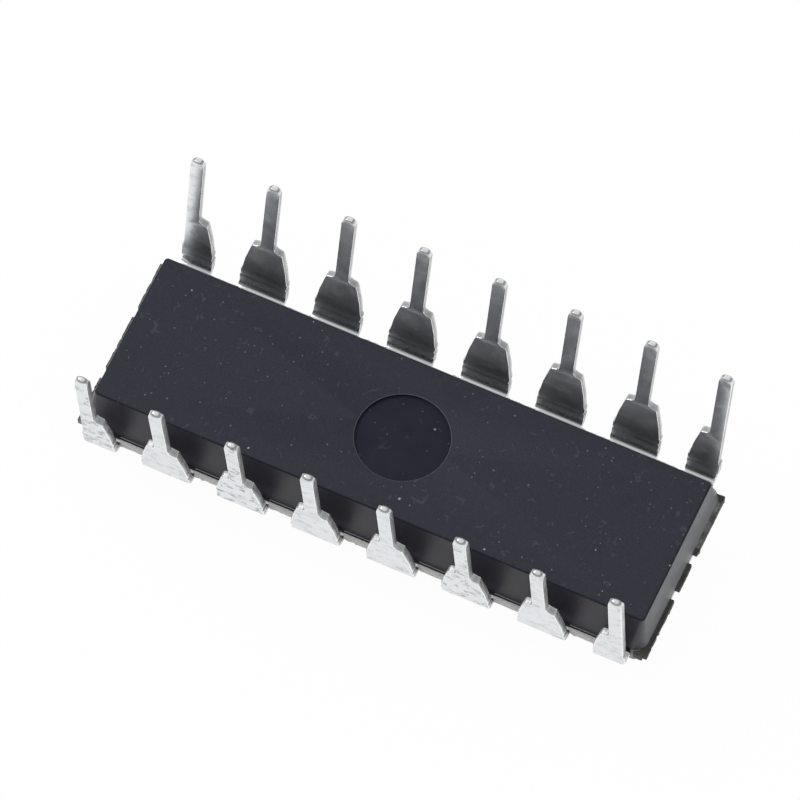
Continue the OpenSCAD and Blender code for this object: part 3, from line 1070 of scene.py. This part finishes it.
@dataclass
class Lead:
    """One lead: a blank stamped from the strip, its finger inside, formed up at the bend."""

    number: int
    sizes: Sizes = SIZES
    stand_out: float = 0.59
    bend_r: float = 0.2
    splay: float = 8.2
    end_splay: float = 7.0
    skirt_w: float = 1.62
    skirt_l: float = 0.55
    shoulder_w: float = 1.52
    shoulder_top_w: float = 1.06
    shoulder_rise: float = 0.1
    shoulder_fillet: float = 0.18
    standoff: float = 0.85
    leg_h: float = 3.15
    tip_l: float = 0.24
    tip_w: float = 0.22
    tip_steps: int = 7
    step_l: float = 0.05
    nick: float = 0.045
    nose_l: float = 0.13
    burr_side: float = 0.9
    corner_cut: float = 0.07
    corner_bevel: float = 0.03
    edge_bevel: float = 0.025
    leg_cut: float = 0.15
    anchor_l: float = 0.4
    finger_w: float = 0.38
    finger_gap: float = 0.35
    strap_gap: float = 0.24
    strap_w: float = 0.5
    finger_run: float = 0.4
    finger_sweep: float = 1.45
    paddle_l: float = 4.8
    paddle_w: float = 2.5
    scuff: float = 0.25

    @property
    def row(self) -> Row:
        """The row that the lead stands in."""
        return Row.FAR if self.number <= self.sizes.leads_a_side else Row.NEAR

    @property
    def x(self) -> float:
        """Place of the lead along its row."""
        return self.sizes.lead_x(self.number)

    @property
    def place(self) -> int:
        """Place counted from the nearer end, 1 for an end lead."""
        return int(self.sizes.leads_a_side / 2 + 0.5 - abs(self.x) / self.sizes.pitch + 0.01)

    @property
    def lean(self) -> float:
        """How far the leg leans out, in radians."""
        return math.radians(self.end_splay if self.place == 1 else self.splay)

    @property
    def bend_y(self) -> float:
        """Where the bend starts, from the middle of the package."""
        return self.sizes.wall_y + self.stand_out - self.sizes.lead_t - self.bend_r

    @property
    def bend_l(self) -> float:
        """Length of the bend along the middle of the strip."""
        return (math.pi / 2 - self.lean) * (self.bend_r + self.sizes.lead_t / 2)

    @property
    def anchor_s(self) -> float:
        """Where the lead's full width ends inside the body, along the blank."""
        return self.sizes.wall_y - self.anchor_l - self.bend_y

    @property
    def seat_s(self) -> float:
        """Where the leg leaves the shoulder, along the blank."""
        drop = self.bend_r - (self.bend_r + self.sizes.lead_t / 2) * math.sin(self.lean)
        return self.bend_l + (self.sizes.belly_h + self.standoff - drop) / math.cos(self.lean)

    @property
    def tip_s(self) -> float:
        """Where the leg ends, along the blank."""
        return self.seat_s + self.leg_h / math.cos(self.lean)

    def leg_end(self) -> Points:
        """The end of a flank, round the tip.

        Returns:
            Its corners, as half width and place along the blank.
        """
        flat = self.tip_w / 4
        turns = [math.radians(90 * i / self.tip_steps) for i in range(self.tip_steps + 1)]
        return [
            (flat + (self.sizes.leg_w / 2 - flat) * math.cos(a), self.tip_s - self.tip_l * (1 - math.sin(a)))
            for a in turns
        ]

    def wide_flank(self) -> Points:
        """One flank with the shoulder, from the start of the bend to the tip.

        Returns:
            Its corners, as half width and place along the blank.
        """
        start, skirt, half = self.bend_l, self.skirt_l, self.skirt_w / 2
        corner = self.seat_s - self.shoulder_rise
        knee = start + skirt + (corner - start - skirt) * 0.45
        knee_w = self.shoulder_w - (self.shoulder_w - self.shoulder_top_w) * 0.3
        r = self.shoulder_fillet
        hollow = (self.sizes.leg_w / 2 + r, self.seat_s + r)
        turns = [math.radians(265 - 85 * i / 8) for i in range(9)]
        return [
            (half, 0.0),
            (half, start + skirt * 0.42),
            (half - self.nick, start + skirt * 0.5),
            (half - self.nick, start + skirt * 0.62),
            (half - 0.01, start + skirt * 0.68),
            (half - 0.01, start + skirt),
            (self.shoulder_w / 2, start + skirt + self.step_l),
            (knee_w / 2, knee),
            (self.shoulder_top_w / 2, corner),
            (self.shoulder_top_w / 2 - self.corner_cut / 2, corner + self.corner_cut),
            *[(hollow[0] + r * math.cos(a), hollow[1] + r * math.sin(a)) for a in turns],
            *self.leg_end(),
        ]

    def plain_flank(self) -> Points:
        """The outer flank of an end lead, which has only the stub.

        Returns:
            Its corners, as half width and place along the blank.
        """
        half = self.sizes.leg_w / 2
        stub = half + (self.skirt_w - self.shoulder_w) / 2
        start = self.bend_l
        return [
            (half, start),
            (stub, start + self.step_l),
            (stub, start + self.skirt_l),
            (half, start + self.skirt_l + self.step_l),
            *self.leg_end(),
        ]

    def finger(self) -> Points:
        """The finger's outline inside the body, from the anchor's inner side and back.

        Returns:
            Its corners, as place across and along the blank.
        """
        s = self.sizes
        x = abs(self.x)
        run_y = s.wall_y - self.anchor_l - self.finger_run
        root_x = x - (s.root_w - s.leg_w) / 4 if self.place == 1 else x
        sweep = self.finger_sweep
        turns = {
            1: [(root_x, run_y), (root_x - sweep, run_y - sweep * 0.72)],
            2: [(root_x, run_y), (root_x - sweep, run_y - sweep * 0.42)],
        }.get(self.place, [(root_x, run_y + self.finger_run / 2)])
        end, strap = self.paddle_l / 2, self.strap_w / 2
        tip = [
            (end + self.finger_gap, strap + self.strap_gap + self.finger_w / 2),
            (end + self.finger_gap, strap + 2 * self.strap_gap + 1.5 * self.finger_w),
            (end - self.finger_gap, self.paddle_w / 2 + self.finger_gap),
            (s.pitch * 0.28, self.paddle_w / 2 + self.finger_gap),
        ][self.place - 1]
        path = [Vector((root_x, s.wall_y - self.anchor_l))] + [Vector(p) for p in (*turns, tip)]
        sides: tuple[list[Vector], list[Vector]] = ([], [])
        for i, point in enumerate(path):
            before = (path[i] - path[i - 1] if i else path[1] - path[0]).normalized()
            after = (path[i + 1] - path[i]).normalized() if i < len(path) - 1 else before
            left = Vector((-before.y - after.y, before.x + after.x)).normalized()
            left /= left.dot(Vector((-before.y, before.x)))
            sides[0].append(point + left * self.finger_w / 2)
            sides[1].append(point - left * self.finger_w / 2)
        ring = [*sides[1], *reversed(sides[0])]
        return [(p.x - x, p.y - self.bend_y) for p in ring]

    def outline(self) -> Points:
        """The blank's whole outline.

        Returns:
            Its corners, as place across and along the blank.
        """
        half = self.sizes.root_w / 2
        wide = [(half, self.anchor_s), (half, 0.0), *self.wide_flank()]
        plain = [(self.sizes.leg_w / 2, self.anchor_s), *self.plain_flank()]
        outer = plain if self.place == 1 else wide
        inner = [(-w, v) for w, v in wide]
        finger = self.finger()
        if finger[0][0] < finger[-1][0]:
            finger.reverse()
        return [*outer, *reversed(inner), *reversed(finger)]

    def stamp(self) -> BMesh:
        """Stamps the flat blank: its outline, thickness, sheared sides and rolled edges.

        Returns:
            The blank's mesh, with X across, Y along and its upper face at 0.
        """
        t = self.sizes.lead_t
        bm = bmesh.new()
        bm.faces.new([bm.verts.new((w, v, 0.0)) for w, v in self.outline()])
        top = self.shoulder_top_w / 2
        near_seat = [v for v in bm.verts if abs(v.co.y - self.seat_s) < self.shoulder_rise + 0.01]
        corners = [v for v in near_seat if top - self.corner_cut < abs(v.co.x) < top + 0.01]
        bevel(bm, corners, self.corner_bevel, 3, "VERTICES")
        skirt_s = self.bend_l + self.skirt_l
        tip_s, nose_s = self.tip_s - self.tip_l, self.tip_s - self.nose_l
        cut_across(bm, (self.bend_l - 0.02, self.bend_l + 0.02), 1)
        cut_across(bm, steps(0.0, self.bend_l, 10) + steps(self.bend_l, skirt_s, 8)[1:], 1)
        cut_across(bm, steps(skirt_s + self.step_l, tip_s, 12), 1)
        cut_across(bm, steps(tip_s, nose_s, 4)[1:] + steps(nose_s, self.tip_s - 0.01, 5)[1:], 1)
        cut_across(bm, steps(-self.leg_cut, self.leg_cut, 5), 0, tip_s)
        for v in bm.verts:
            if abs(v.co.x) > self.shoulder_w / 2 + 0.01 and v.co.y < skirt_s + 0.01:
                shift = ragged(v.co + Vector((self.number * 7.1, 0, 0)), 4.0, 0.03)
                v.co.x -= math.copysign(abs(shift.x), v.co.x)
        raised = bmesh.ops.extrude_face_region(bm, geom=list(bm.faces))["geom"]
        low = [v for v in raised if isinstance(v, bmesh.types.BMVert)]
        bmesh.ops.translate(bm, vec=(0, 0, -t), verts=low)
        close_and_turn_out(bm)
        rims = [e for e in bm.edges if sorted(abs(f.normal.z) > 0.5 for f in e.link_faces) == [False, True]]
        bevel(bm, rims, self.edge_bevel, 2)
        for v in bm.verts:
            up = self.reach(v.co.y, self.tip_l)
            half = self.tip_w / 4 + (self.sizes.leg_w / 2 - self.tip_w / 4) * math.sqrt(1.0 - up * up)
            side = min(abs(v.co.x) / half, 1.0) ** 2 * min(1.6 * up, 1.0) * 0.85
            thin = math.sqrt(1.0 - (0.88 * self.reach(v.co.y, self.nose_l)) ** 2) * math.sqrt(1.0 - side)
            inner = v.co.z > -t / 2
            v.co.z = (v.co.z + t / 2) * (1.0 - (1.0 - thin) * (self.burr_side if inner else 1.0)) - t / 2
        close_and_turn_out(bm)
        return bm

    def reach(self, along: float, length: float) -> float:
        """How far a place is along the last stretch before the tip, from 0 to 1."""
        return min(max((along - self.tip_s) / length + 1.0, 0.0), 1.0)

    def form(self, bm: BMesh) -> None:
        """Bends the blank up and puts it in its place.

        Args:
            bm: The blank's mesh.
        """
        s = self.sizes
        turn = math.pi / 2 - self.lean
        side = 1.0 if self.x > 0 else -1.0
        for v in bm.verts:
            across, along, depth = v.co.x, v.co.y, -v.co.z
            angle = min(max(along / self.bend_l, 0.0), 1.0) * turn
            before, past = min(along, 0.0), max(along - self.bend_l, 0.0)
            radius = self.bend_r + depth
            y = self.bend_y + radius * math.sin(angle) + before + past * math.cos(turn)
            z = s.frame_high + self.bend_r - radius * math.cos(angle) + past * math.sin(turn)
            v.co = (side * (abs(self.x) + across), self.row.value * y, z)
        close_and_turn_out(bm)

    def build(self, material: Material) -> None:
        """Builds the lead.

        Args:
            material: The tin finish.
        """
        bm = self.stamp()
        blank = bm.verts.layers.float_vector.new("blank")
        names = ("nose", "scuff", "depth", "crease")
        nose, scuff, depth, crease = (bm.verts.layers.float.new(name) for name in names)
        sheared, rim, collar = (bm.faces.layers.float.new(name) for name in ("sheared", "rim", "collar"))
        for v in bm.verts:
            v[blank] = v.co + Vector((0.0, 0.0, 5.0 * self.number))
            worn = v.co.z < -self.sizes.lead_t / 2 if self.row is Row.NEAR else v.co.x > 0.0
            v[scuff] = self.scuff if worn else 0.05
            v[nose] = self.reach(v.co.y, self.nose_l)
            v[depth] = -v.co.z / self.sizes.lead_t
            v[crease] = float(abs(v.co.y - self.bend_l) < 2 * MERGE)
        for f in bm.faces:
            level = abs(f.normal.z)
            end = f.calc_center_median().y > self.tip_s - self.tip_l * 0.8
            f[collar] = 0.6 if not end and level < 0.5 and f.normal.y > 0.6 else 0.0
            f[sheared] = float(not end and level < 0.25)
            f[rim] = float(not end and 0.25 <= level < 0.97)
        self.form(bm)
        obj = make_piece(f"tinned_lead_{self.number:02d}", bm, material, "tinned_lead")
        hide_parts(f"lead_{self.number:02d}")


@dataclass
class LeadRows:
    """Both rows of leads, with how scuffed each lead is."""

    sizes: Sizes = SIZES
    scuffs: dict[int, float] = field(default_factory=lambda: {1: 0.5, 16: 0.65, 14: 0.75, 11: 0.65})

    def build(self, material: Material) -> None:
        """Builds all the leads.

        Args:
            material: The tin finish.
        """
        for number in range(1, 2 * self.sizes.leads_a_side + 1):
            scuff, burr = (0.03, 0.35) if number <= self.sizes.leads_a_side else (0.3, 0.9)
            scuff = self.scuffs.get(number, scuff)
            Lead(number, self.sizes, scuff=scuff, burr_side=burr).build(material)


@dataclass
class InnerParts:
    """What the moulding hides: the paddle with its tie bars, the die, its adhesive and wires."""

    sizes: Sizes = SIZES
    stub_l: float = 0.006
    edge_bevel: float = 0.012

    def build_paddle(self, node: Object, material: Material) -> None:
        """Copies the paddle with its tie bars sheared off just proud of the body.

        Args:
            node: The frame's paddle.
            material: The bare metal.
        """
        bm = bmesh.new()
        bm.from_mesh(node.data)
        bmesh.ops.remove_doubles(bm, verts=bm.verts, dist=1e-7)
        bmesh.ops.scale(bm, vec=(1 / MM, 1 / MM, 1 / MM), verts=bm.verts)
        bmesh.ops.dissolve_limit(bm, angle_limit=0.01, verts=bm.verts, edges=bm.edges)
        for v in bm.verts:
            if abs(v.co.x) > self.sizes.end_x - 0.01:
                v.co.x += math.copysign(self.stub_l, v.co.x)
        bmesh.ops.recalc_face_normals(bm, faces=bm.faces)
        rims = [e for e in bm.edges if e.calc_face_angle(0.0) > 1.0]
        bevel(bm, rims, self.edge_bevel, 2)
        obj = make_piece("paddle_and_tie_bars", bm, material, "frame_metal")
        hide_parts("die_paddle")

    def build(self, nodes: dict[str, Object], metal: Material) -> None:
        """Builds the paddle and dresses the nodes that stay.

        Args:
            nodes: The frame's nodes by name.
            metal: The bare metal.
        """
        self.build_paddle(nodes["die_paddle"], metal)
        finishes = {
            "die_attach": InnerFinish("silver_adhesive", (0.55, 0.54, 0.52), (0.30, 0.29, 0.28), 0.5, 0.5),
            "silicon_die": InnerFinish("silicon", (0.16, 0.17, 0.21), (0.07, 0.08, 0.11), 0.6, 0.18),
            "bond_wire": InnerFinish("gold_wire", (0.90, 0.68, 0.30), (0.72, 0.52, 0.22), 1.0, 0.22),
        }
        made = {name: finish.build() for name, finish in finishes.items()}
        for name, node in sorted(nodes.items()):
            for key, material in made.items():
                if name.startswith(key):
                    node.data.materials.clear()
                    node.data.materials.append(material)
                    log.info("%s: frame node in %s", name, material.name)


# Setting


@dataclass
class Studio:
    """Floor, sky, lamp and the camera at the photograph's viewing angle."""

    azimuth: float = 22.665
    elevation: float = 62.903
    roll: float = 2.103
    distance: float = 281.67
    focal_px: float = 9139.8
    image_px: float = 800.0
    sensor: float = 36.0
    aim: Vector = field(default_factory=lambda: Vector((0.0, 0.0, 3.3)))
    shift: tuple[float, float] = (-0.080, 1.154)
    floor_r: float = 1200.0
    floor_z: float = -0.01
    floor_glow: float = 0.97
    diffuse: Colour = (0.98, 0.98, 0.98)
    white: Colour = (1.0, 1.0, 1.0)
    overhead: float = 0.62
    lamp_place: Vector = field(default_factory=lambda: Vector((-220.0, 20.0, 200.0)))
    lamp_size: float = 160.0
    lamp_power: float = 0.35

    def build_camera(self) -> None:
        """Places the camera."""
        turn = Matrix.Identity(4)
        for degrees, axis in ((self.azimuth, "Z"), (90.0 - self.elevation, "X"), (self.roll, "Z")):
            turn = turn @ Matrix.Rotation(math.radians(degrees), 4, axis)
        centre = self.aim + turn @ Vector((*self.shift, self.distance))
        data = bpy.data.cameras.new("camera")
        data.sensor_width = self.sensor
        data.sensor_fit = "HORIZONTAL"
        data.lens = self.focal_px * self.sensor / self.image_px
        data.clip_start, data.clip_end = 0.01, 10.0
        camera = add_object("camera", data)
        camera.matrix_world = Matrix.Translation(centre * MM) @ turn
        bpy.context.scene.camera = camera

    def build_floor(self) -> None:
        """Lays the white floor, which keeps a share of the package's shadow."""
        bm = bmesh.new()
        bmesh.ops.create_circle(bm, cap_ends=True, segments=96, radius=self.floor_r, matrix=Matrix())
        mesh = new_mesh("floor", bm, MM)
        floor = add_object("floor", mesh)
        floor.location.z = self.floor_z * MM
        material = bpy.data.materials.new("white_floor")
        material.use_nodes = True
        graph = Graph(material.node_tree)
        path = graph.values(graph.add("LightPath"))
        seen = path["Is Camera Ray"] | path["Is Glossy Ray"] | path["Is Transmission Ray"]
        diffuse = graph.out("BsdfDiffuse", {"Color": self.diffuse})
        white = graph.out("Emission", {"Color": self.white, "Strength": 1.0})
        both = graph.out("MixShader", {0: seen * self.floor_glow, 1: diffuse, 2: white})
        graph.add("OutputMaterial", {"Surface": both})
        mesh.materials.append(material)

    def build_sky(self) -> None:
        """Surrounds the package with a white studio, a little dimmer overhead."""
        world = bpy.data.worlds.new("studio")
        bpy.context.scene.world = world
        world.use_nodes = True
        graph = Graph(world.node_tree)
        way = graph.out("SeparateXYZ", {0: graph.out("TexCoord", which="Generated")}, which="Z")
        level = way.span(0.0, 0.9, 1.0, self.overhead)
        light = graph.out("Background", {"Color": self.white, "Strength": level})
        white = graph.out("Background", {"Color": self.white, "Strength": 1.0})
        seen = graph.out("LightPath", which="Is Camera Ray")
        graph.add("OutputWorld", {"Surface": graph.out("MixShader", {0: seen, 1: light, 2: white})})

    def build_lamp(self) -> None:
        """Hangs one soft lamp that looks at the package."""
        data = bpy.data.lights.new("key_lamp", "AREA")
        data.size = self.lamp_size * MM
        data.energy = self.lamp_power
        lamp = add_object("key_lamp", data)
        lamp.location = self.lamp_place * MM
        lamp.rotation_euler = (self.lamp_place - self.aim).to_track_quat("Z", "Y").to_euler()

    def build(self) -> None:
        """Sets up the whole studio."""
        self.build_camera()
        self.build_floor()
        self.build_sky()
        self.build_lamp()
        bpy.context.scene.view_settings.view_transform = "Standard"


def plain(corners: tuple[Vector, Vector]) -> list[list[float]]:
    """A box's two corners as plain lists of numbers."""
    return [list(corner) for corner in corners]


def main() -> None:
    """Builds the package round the frame and the studio round the package."""
    logging.basicConfig(level=logging.INFO, format="%(name)s %(message)s")
    noise.seed_set(NOISE_SEED)
    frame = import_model()
    Studio().build()
    trimmed = MouldFlash("trimmed_flash", (0.50, 0.495, 0.49), (0.62, 0.62, 0.61))
    MouldedBody().build(MouldedEpoxy().build(), MouldFlash().build(), trimmed.build())
    LeadRows().build(TinPlate().build())
    InnerParts().build(frame["nodes"], FrameMetal().build())


if __name__ == "__main__":
    main()
